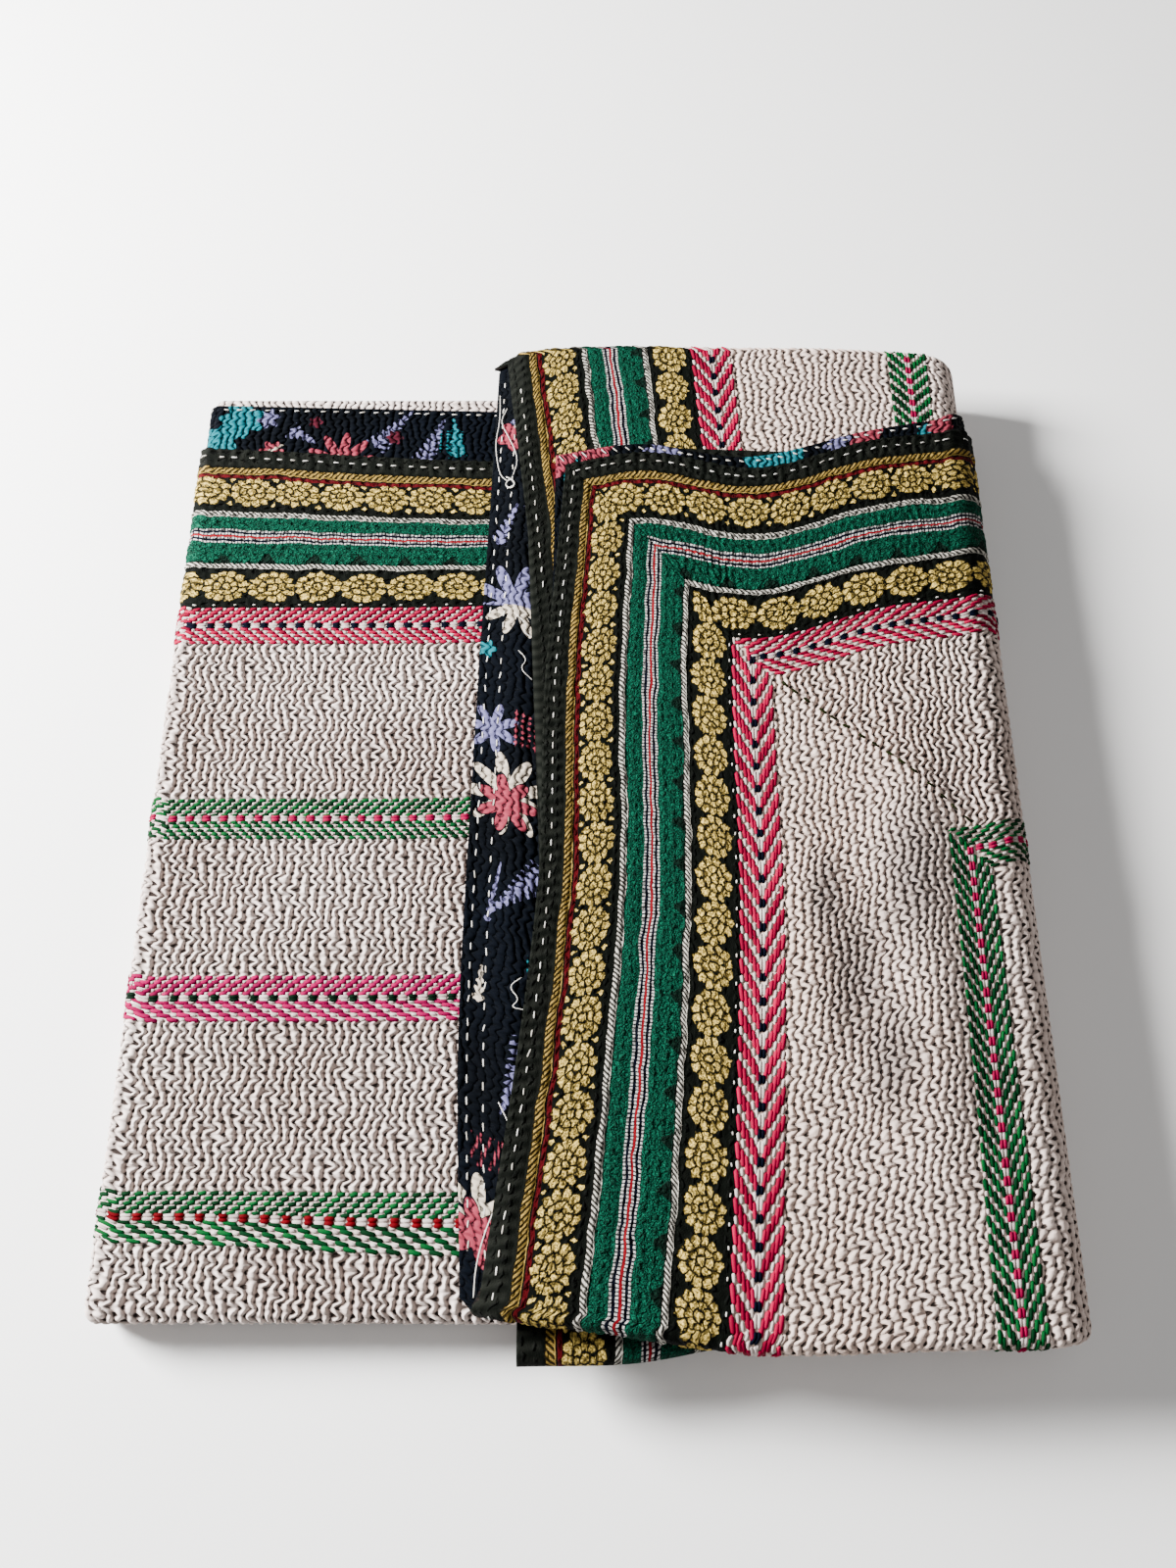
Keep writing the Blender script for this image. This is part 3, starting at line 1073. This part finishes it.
def mitred(place, inset, total):
    """Places along an edge, drawn in at both ends by the inset so that two tapes meet on the diagonal."""
    gap = inset + SEAM_GAP
    start = gap + place * (TAPE_WIDTH - gap) / TAPE_WIDTH
    end = total - gap - (total - place) * (TAPE_WIDTH - gap) / TAPE_WIDTH
    return np.where(place < TAPE_WIDTH, start, np.where(place > total - TAPE_WIDTH, end, place))


def tape_place(lines, insets, edge):
    """Flat (u, v) of a tape's grid: lines are stations along its edge, insets its rows in from that edge."""
    lines, insets = np.broadcast_arrays(lines[:, None], insets[None, :])
    if edge == "first_end" or edge == "last_end":
        u = mitred(flat_place(lines, 0 * lines)[0], insets, WIDTH)
        length = quarter_starts(np.interp(u, LEAF_STARTS, np.arange(8)))[-1]
        return u, insets if edge == "first_end" else length - insets
    u = insets if edge == "first_side" else WIDTH - insets
    across = np.interp(u, LEAF_STARTS, np.arange(8))
    _, place, length = flat_place(across, lines)
    return u, mitred(place, insets, length)


def tape_piece(edge, lines, insets):
    """A closed mitred tape along one edge, with relief where its front shows."""
    if edge in ("last_end", "first_side"):
        insets = insets[::-1]
    step = np.where(np.floor(lines + 1e-6).astype(int) % 2 == 1, KEEP_FOLD, KEEP_FLAT)
    number = np.arange(len(lines))
    keep = (np.unique(np.concatenate((number[number % step == 0], (0, len(lines) - 1)))),
            np.unique(np.concatenate((np.arange(0, len(insets), KEEP_ACROSS), (len(insets) - 1,)))))
    faces, places = [], []
    for rows, columns, top in ((lines, insets, True), (lines[keep[0]], insets[keep[1]], False)):
        u, v = tape_place(rows, columns, edge)
        across, along = stations(u, v)
        inset = np.broadcast_to(columns[None, :], u.shape)
        s = v if "side" in edge else u / END_TAPE_STRETCH
        lift = tape_relief(s, inset) + TAPE_RIPPLE * (ripple(u, v) - 0.6) if top else 0
        out = THICK / 2 + lift * shown(across, along) if top else np.full(u.shape, THICK / 2 - TAPE_THICK)
        faces.append(folded(across, along, out))
        places.append(np.stack((s.ravel() * 1000, inset.ravel() * 1000, 0 * s.ravel()), axis=1))
    # the side tapes' faces are turned round here, so they point inwards
    points, quads, triangles = closed_sheet(*faces, keep, "side" not in edge)
    return mesh_piece("tape_" + edge + "_cloth", points, quads, triangles, TAPE,
                      {"tape": np.concatenate(places)})


CORD_EDGES = np.array(CORDS_MM).ravel() / 1000
FINE_ROWS = np.unique(np.round(np.concatenate((np.linspace(0, TAPE_WIDTH, 86), CORD_EDGES)), 6))
PLAIN_ROWS = np.array((0, 0.012, 0.024, 0.036, TAPE_WIDTH / 2, TAPE_WIDTH))
TAPES = (
    tape_piece("first_end", spans((0, 1, 200), (1, 2, 24), (2, 3, 16), (3, 4, 18), (4, 4.46, 140),
                                  (4.46, 5, 8), (5, 6, 6), (6, 7, 16)), FINE_ROWS),
    tape_piece("first_side", spans((0, 1, 370), (1, 2, 12), (2, 3, 14), (3, 4, 12), (4, 4.24, 90),
                                   (4.24, 5, 10), (5, 6, 6), (6, 7, 12)), FINE_ROWS),
    tape_piece("last_end", spans((0, 1, 20), (1, 2, 12), (2, 3, 12), (3, 4, 12), (4, 5, 14),
                                 (5, 6, 6), (6, 7, 16)), PLAIN_ROWS),
    tape_piece("last_side", spans((0, 1, 20), (1, 2, 16), (2, 2.2, 60), (2.2, 3, 10), (3, 4, 8),
                                  (4, 5, 10), (5, 6, 6), (6, 7, 16)), FINE_ROWS),
)
for edge, piece in zip(("first_end", "first_side", "last_end", "last_side"), TAPES):
    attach(piece, "root")
    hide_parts("tape_" + edge)

# %% [markdown]
# ## Embroidery, running stitch and loose ends
#
# Bands of coloured stitches run round the cloth inside the tape, two along its side
# and four along its end, and are laid only where they show. Each is a herringbone:
# rows of short stitches about 2 mm apart, each row shifted along from the last, with
# cream stitches between the coloured ones, and small squares of two stitches side by
# side along the middle. The stitches are closed shapes laid over the flat quilt and
# then folded with it.

# %% Stitch shape and placing
RINGS, AROUND = 3, 5


def stitch_shape():
    """A blunt closed lozenge, 1 long, wide and high: points, quads and end triangles.
    Its radius along x is 0.5 (1 - |2x|^4)^(1/4), rings of points between two poles."""
    x = -0.5 * np.cos(np.pi * np.arange(1, RINGS + 1) / (RINGS + 1))
    radius = 0.5 * (1 - np.abs(2 * x) ** 4) ** 0.25
    angle = 2 * np.pi * np.arange(AROUND) / AROUND
    ring = np.stack([np.broadcast_to(x[:, None], (RINGS, AROUND)), radius[:, None] * np.cos(angle),
                     radius[:, None] * np.sin(angle)], axis=-1).reshape(-1, 3)
    points = np.concatenate((ring, ((-0.5, 0, 0), (0.5, 0, 0))))
    quads, ends = [], []
    last = (RINGS - 1) * AROUND
    for j in range(AROUND):
        k = (j + 1) % AROUND
        for ring_start in range(0, last, AROUND):
            ahead = ring_start + AROUND
            quads.append((ring_start + j, ahead + j, ahead + k, ring_start + k))
        ends += [(j, k, last + AROUND), (last + k, last + j, last + AROUND + 1)]
    return points, np.array(quads), np.array(ends)


SHAPE, SHAPE_QUADS, SHAPE_ENDS = stitch_shape()
stitch_rng = np.random.default_rng(11)


def stitch_batch(u, v, heading, size, colours, rise, side=1):
    """Stitches at flat (u, v), turned by heading from the u direction towards v. size is (length, width,
    height), rise how far their middles stand from the sheet's middle, and side 1 on the front and -1 on
    the back. Gives their points, dyes and own coordinates in mm."""
    u, v, heading, rise = (np.broadcast_to(value, u.shape)[:, None] for value in (u, v, heading, rise))
    scale = stitch_rng.uniform(0.9, 1.1, (u.size, 3)) * size
    x, y, z = (SHAPE[None, :, k] * scale[:, None, k] for k in range(3))
    flat_u = u + x * np.cos(heading) - side * y * np.sin(heading)
    flat_v = v + x * np.sin(heading) + side * y * np.cos(heading)
    across, along = stations(flat_u, flat_v)
    points = folded(across, along, side * (rise + z))
    dye = np.array([linear(colour)[:3] for colour in colours])
    dye = dye[stitch_rng.integers(len(colours), size=u.size)]
    dye = dye * stitch_rng.uniform(0.8, 1.15, (u.size, 1))
    strand = np.stack(np.broadcast_arrays(x, y, z), axis=-1) * 1000
    return points, np.repeat(dye[:, None], len(SHAPE), axis=1), strand


def copied(corners, points_each, copies):
    """The corner numbers of one shape's faces, for this many copies of the shape in a row."""
    first = (np.arange(copies) * points_each)[:, None, None]
    return (corners[None] + first).reshape(-1, corners.shape[1])


def stitch_piece(name, batches):
    """One mesh of many closed stitches, with their dye and their own coordinates in mm."""
    points, dye, strand = (np.concatenate([batch[k].reshape(-1, 3) for batch in batches]) for k in range(3))
    copies = len(points) // len(SHAPE)
    quads, ends = (copied(faces, len(SHAPE), copies) for faces in (SHAPE_QUADS, SHAPE_ENDS))
    return mesh_piece(name, points, quads, ends, THREAD, {"dye": dye, "strand": strand})


def embroidery_thread():
    """Six-strand cotton: a slight gloss, with the twist of its strands as bump."""
    material, add, shader = cloth_material("embroidery_cotton", 0.7)
    x, y, _ = add("SeparateXYZ", add("Attribute", attribute_name="strand")).node.outputs
    twist = strands(add, x, y, 1.1, 0.75)
    dye = add("Attribute", attribute_name="dye")
    shade = add("VectorMath", dye, (0.55, 0.55, 0.55), operation="MULTIPLY")
    colour = add("Mix", twist, shade, dye, data_type="RGBA")
    finish_material(material, shader, colour, twist, 0.0002)
    return material


THREAD = embroidery_thread()

# %% The embroidered bands
BAND_ROW = 0.00215              # between rows of a band
ROWS_EACH_SIDE = 5              # of its middle
CREAMS = ("#CDBDB7", "#C2B0A9", "#D6C8C2")
CRIMSON, MAGENTA = ("#940032", "#7C0028", "#A20038"), ("#8C0042", "#9A004A", "#780038")
LEAF_GREEN = ("#043C1A", "#022A12", "#064E22")
INK, RED, PINE, MAROON = ("#020514",), ("#90003A",), ("#011608",), ("#5C000A",)     # the squares' dyes
BAND_RISE = THICK / 2 + 0.0002


def band(middle, colours, squares, pitches, width, beside, low, high, slope=0.4, sag=0.0):
    """The batches of one band between two stations. pitches are those of the squares, of the outer half's
    stitches and of the inner half's, and slope is each row's shift as a share of its pitch. beside is "side"
    or "end", the edge it runs along, and sag is how much further in the end's band lies."""
    batches = []
    points_to = 1 if beside == "side" else -1

    def lay(t, s, turn, size, dyes, rise=BAND_RISE):
        """The row of stitches at t from the edge, where it lies between the stations and past the mitre."""
        if beside == "side":
            u, v, past = t + 0 * s, s, s > t + sag
        else:
            u, v, past = s, t + sag + 0 * s, s > t
        along = stations(u, v)[1 if beside == "side" else 0]
        here = (along > low) & (along < high) & past
        heading = np.pi / 2 + turn if beside == "side" else -turn
        batches.append(stitch_batch(u[here], v[here], heading, size, dyes, rise))

    for step in range(-ROWS_EACH_SIDE, ROWS_EACH_SIDE + 1):
        pitch = pitches[0] if step == 0 else pitches[1] if step < 0 else pitches[2]
        s = np.arange(0, max(WIDTH, LENGTH), pitch) - points_to * abs(step) * slope * pitch
        s = s + stitch_rng.normal(0, 0.02 * pitch, s.shape)
        t = middle + step * BAND_ROW + stitch_rng.normal(0, 0.00008)
        if step == 0:
            for lane in (-0.0009, 0.0009):
                lay(t + lane, s, 0.0, (0.0050, 0.0024, 0.0026), squares)
                lay(t + lane, s + pitch / 2, 0.0, (0.55 * pitch, 0.0022, 0.0014), CREAMS)
        else:
            tilt = np.radians(9) * points_to * np.sign(step)
            lay(t, s, tilt, (0.74 * pitch, 1.12 * width, 0.0018), colours)
            lay(t, s + pitch / 2, tilt, (0.34 * pitch, 0.0018, 0.0013), CREAMS)
    return batches


NEAR_FOLD_END = float(flat_place(np.array(0.5), np.array(1.6))[1])
FAR_SPAN = [float(flat_place(np.array(0.5), np.array(station))[1]) for station in (3.3, 4.24)]
RIGHT_FOLD_END = LEAF_STARTS[1] + 0.62 * LEAF_LENGTHS[1]
LEFT_SPAN = (LEAF_STARTS[3] + 0.3 * LEAF_LENGTHS[3], LEAF_STARTS[4] + 0.45 * LEAF_LENGTHS[4])

SIDE_BANDS = (
    (STRIPES[0], CRIMSON, INK, (0.0125, 0.0125, 0.0125), 0.0024, "side"),
    (STRIPES[1], LEAF_GREEN, RED, (0.0081, 0.0081, 0.0081), 0.0021, "side"),
)
top_bands = []
for row in SIDE_BANDS:
    top_bands += band(*row, 3.3, 4.24, slope=0.27)
top_bands += band(*SIDE_BANDS[0], 0, 1.62, slope=0.27) + band(*SIDE_BANDS[1], 0, 1.62, sag=SAG)
top_bands += band(STRIPES[0], CRIMSON, INK, (0.0100, 0.0100, 0.0100), 0.0017, "end", 0, 1.62)
top_bands += band(STRIPES[1], LEAF_GREEN, RED, (0.0075, 0.0075, 0.0075), 0.0018, "end", 0, 1.62, sag=SAG)
left_bands = []
for row in (
    (STRIPES[0], CRIMSON, INK, (0.0105, 0.0066, 0.0066), 0.0020, "end"),
    (STRIPES[1], LEAF_GREEN, RED, (0.0094, 0.0056, 0.0056), 0.0020, "end"),
    (STRIPES[2], MAGENTA, PINE, (0.0103, 0.0060, 0.0103), 0.0024, "end"),
    (STRIPES[3], LEAF_GREEN, MAROON, (0.0105, 0.0062, 0.0105), 0.0020, "end"),
):
    left_bands += band(*row, 3.3, 4.45)

# %% Running stitches in white and olive thread
WHITES = ("#D8D4CC", "#E2DFD8", "#C6C0B4")


def running(s_from, s_to, step, length, place, heading, rise, colours=WHITES, width=0.0009, side=1):
    """One row of running stitch: place gives the flat (u, v) at s along it."""
    s = np.arange(s_from, s_to, step)
    s = s + stitch_rng.normal(0, 0.12 * step, s.shape)
    u, v = place(s)
    heading = heading + stitch_rng.normal(0, 0.09, s.shape)
    return stitch_batch(u, v, heading, (length, width, 0.0009), colours, rise, side)


def by_side(inset):
    """Flat places this far in from the first side."""
    return lambda s: (inset + 0 * s, s)


def by_first_end(inset):
    """Flat places this far in from the taped end."""
    return lambda s: (s, inset + 0 * s)


def by_last_end(inset):
    """Flat places this far in from the other end."""
    return lambda s: (s, quarter_starts(np.interp(s, LEAF_STARTS, np.arange(8)))[-1] - inset)


UP = np.pi / 2                          # heading of a row along a side; along an end it is 0
ON_TAPE = THICK / 2 + 0.0003
OUTER_SEAM, INNER_SEAM = 0.0062, 0.1098     # the rows that sew the tape down, in from the edge
LONG, SHORT, HEMMED = (0.009, 0.0038), (0.0125, 0.0020), (0.0085, 0.0036)      # a stitch's step and length
plain = [
    running(0.008, NEAR_FOLD_END, *LONG, by_side(OUTER_SEAM), UP, ON_TAPE),
    running(0.008, RIGHT_FOLD_END, *LONG, by_first_end(OUTER_SEAM), 0, ON_TAPE),
    running(0.115, NEAR_FOLD_END, *SHORT, by_side(INNER_SEAM), UP, ON_TAPE),
    running(0.115, RIGHT_FOLD_END, *SHORT, by_first_end(INNER_SEAM), 0, ON_TAPE),
    running(*FAR_SPAN, *LONG, by_side(OUTER_SEAM), UP, ON_TAPE),
    running(*LEFT_SPAN, *LONG, by_first_end(OUTER_SEAM), 0, ON_TAPE),
    running(*LEFT_SPAN, *SHORT, by_first_end(INNER_SEAM), 0, ON_TAPE),
    # the olive row on the diagonal
    running(0.142, 0.246, 0.0072, 0.0060, lambda s: (s, s), np.pi / 4, THICK / 2 + 0.0022,
            ("#1A2008", "#121604"), 0.0015),
]
LINING_SPAN = [float(flat_place(np.array(0.1), np.array(station))[1]) for station in (2.03, 2.97)]
ON_LINING = THICK / 2 + 0.0004
for inset in (0.0045, 0.0125):
    plain.append(running(*LINING_SPAN, 0.0098, 0.0042, by_side(inset), UP, ON_LINING, side=-1))
for span in (LEFT_SPAN, (0.004, RIGHT_FOLD_END)):
    plain.append(running(*span, *HEMMED, by_last_end(0.0040), 0, ON_LINING, side=-1))

# %% Loose threads
THREAD_RINGS = 30
THREAD_RISE, THREAD_ARCH = 0.0018, 0.0006   # over the lining at its ends, and more in its middle
LOOSE_THREADS = (               # flat (u, v) of each thread's bends, in millimetres
    (WHITES, 0.00030, ((7, 974), (3, 964), (9, 953), (16, 937), (13, 926))),
    (WHITES, 0.00030, ((2, 984), (3, 965), (1, 951), (2, 940), (5, 926), (10, 922))),
    (WHITES, 0.00038, ((9, 925), (15, 921), (13, 916), (8, 919), (12, 924), (15, 919), (10, 917))),
    (WHITES, 0.00025, ((20, 834), (26, 829), (24, 823), (32, 823), (35, 829))),
    (WHITES, 0.00025, ((22, 812), (27, 808), (23, 801), (30, 797))),
    (WHITES, 0.00030, ((30, 631), (24, 624), (30, 620), (25, 614), (33, 616))),
    (WHITES, 0.00030, ((20, 566), (26, 556), (22, 546), (29, 537), (27, 528))),
    (WHITES, 0.00042, ((18, 517), (12, 501), (8, 485), (7, 472))),
    (("#5C000A", "#400006"), 0.00040, ((33, 824), (35, 811), (34, 797))),
)


def loose_thread(bends, radius):
    """A closed five-sided tube over the lining, along the bends after three rounds of corner cutting."""
    path = np.array(bends) / 1000
    for _ in range(3):
        cuts = 0.75 * path[:-1] + 0.25 * path[1:], 0.25 * path[:-1] + 0.75 * path[1:]
        path = np.concatenate((path[:1], np.stack(cuts, axis=1).reshape(-1, 2), path[-1:]))
    run = np.concatenate(((0,), np.cumsum(np.hypot(*np.diff(path, axis=0).T))))
    even = np.linspace(0, run[-1], THREAD_RINGS)
    u, v = (np.interp(even, run, path[:, k]) for k in range(2))
    rise = THICK / 2 + THREAD_RISE + THREAD_ARCH * np.sin(np.pi * even / run[-1])
    middle = folded(*stations(u, v), -rise)
    ahead = np.gradient(middle, axis=0)
    aside = np.cross(ahead, (0, 0, 1))
    aside /= np.linalg.norm(aside, axis=1, keepdims=True)
    above = np.cross(aside, ahead / np.linalg.norm(ahead, axis=1, keepdims=True))
    angle = 2 * np.pi * np.arange(AROUND) / AROUND
    around = aside[:, None] * np.cos(angle)[:, None] + above[:, None] * np.sin(angle)[:, None]
    ring = middle[:, None] + radius * around
    return np.concatenate((ring.reshape(-1, 3), middle[:1], middle[-1:]))


def tube_faces():
    """Quads and end triangles of a loose thread: the points of its rings in turn, then its two ends.
    They point inwards."""
    j = np.arange(AROUND)
    k = (j + 1) % AROUND
    ring = (np.arange(THREAD_RINGS - 1) * AROUND)[:, None]
    quads = np.stack((ring + j, ring + k, ring + AROUND + k, ring + AROUND + j), axis=-1).reshape(-1, 4)
    last = (THREAD_RINGS - 1) * AROUND
    start, end = last + AROUND, last + AROUND + 1
    return quads, np.concatenate((np.stack((k, j, 0 * j + start), axis=1),
                                  np.stack((last + j, last + k, 0 * j + end), axis=1)))


TUBE_POINTS = THREAD_RINGS * AROUND + 2
tubes = np.concatenate([loose_thread(bends, radius) for _, radius, bends in LOOSE_THREADS])
tube_dyes = np.repeat([linear(colours[0])[:3] for colours, _, _ in LOOSE_THREADS], TUBE_POINTS, axis=0)
tube_quads, tube_ends = (copied(faces, TUBE_POINTS, len(LOOSE_THREADS)) for faces in tube_faces())
loose_piece = mesh_piece("stitches_loose_threads", tubes, tube_quads, tube_ends, THREAD,
                         {"dye": tube_dyes, "strand": tubes * 1000})

STITCH_PIECES = (
    stitch_piece("stitches_top_bands", top_bands),
    stitch_piece("stitches_left_bands", left_bands),
    stitch_piece("stitches_plain", plain),
    loose_piece,
)
for piece in STITCH_PIECES:
    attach(piece, "root")
    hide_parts("quilt")
print("stitches", sum(len(piece.data.vertices) // len(SHAPE) for piece in STITCH_PIECES[:3]))

# %% [markdown]
# ## What each piece is
#
# Each sheet of cloth is declared with the size that it was cut to before folding, so
# a program that reads the object knows that it is cloth, held folded, and what it
# lies on.

# %% Sizes and hand-over
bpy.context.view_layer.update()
faces = sum(len(p.vertices) - 2 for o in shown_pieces() if o.type == "MESH" for p in o.data.polygons)
print("triangles", faces)
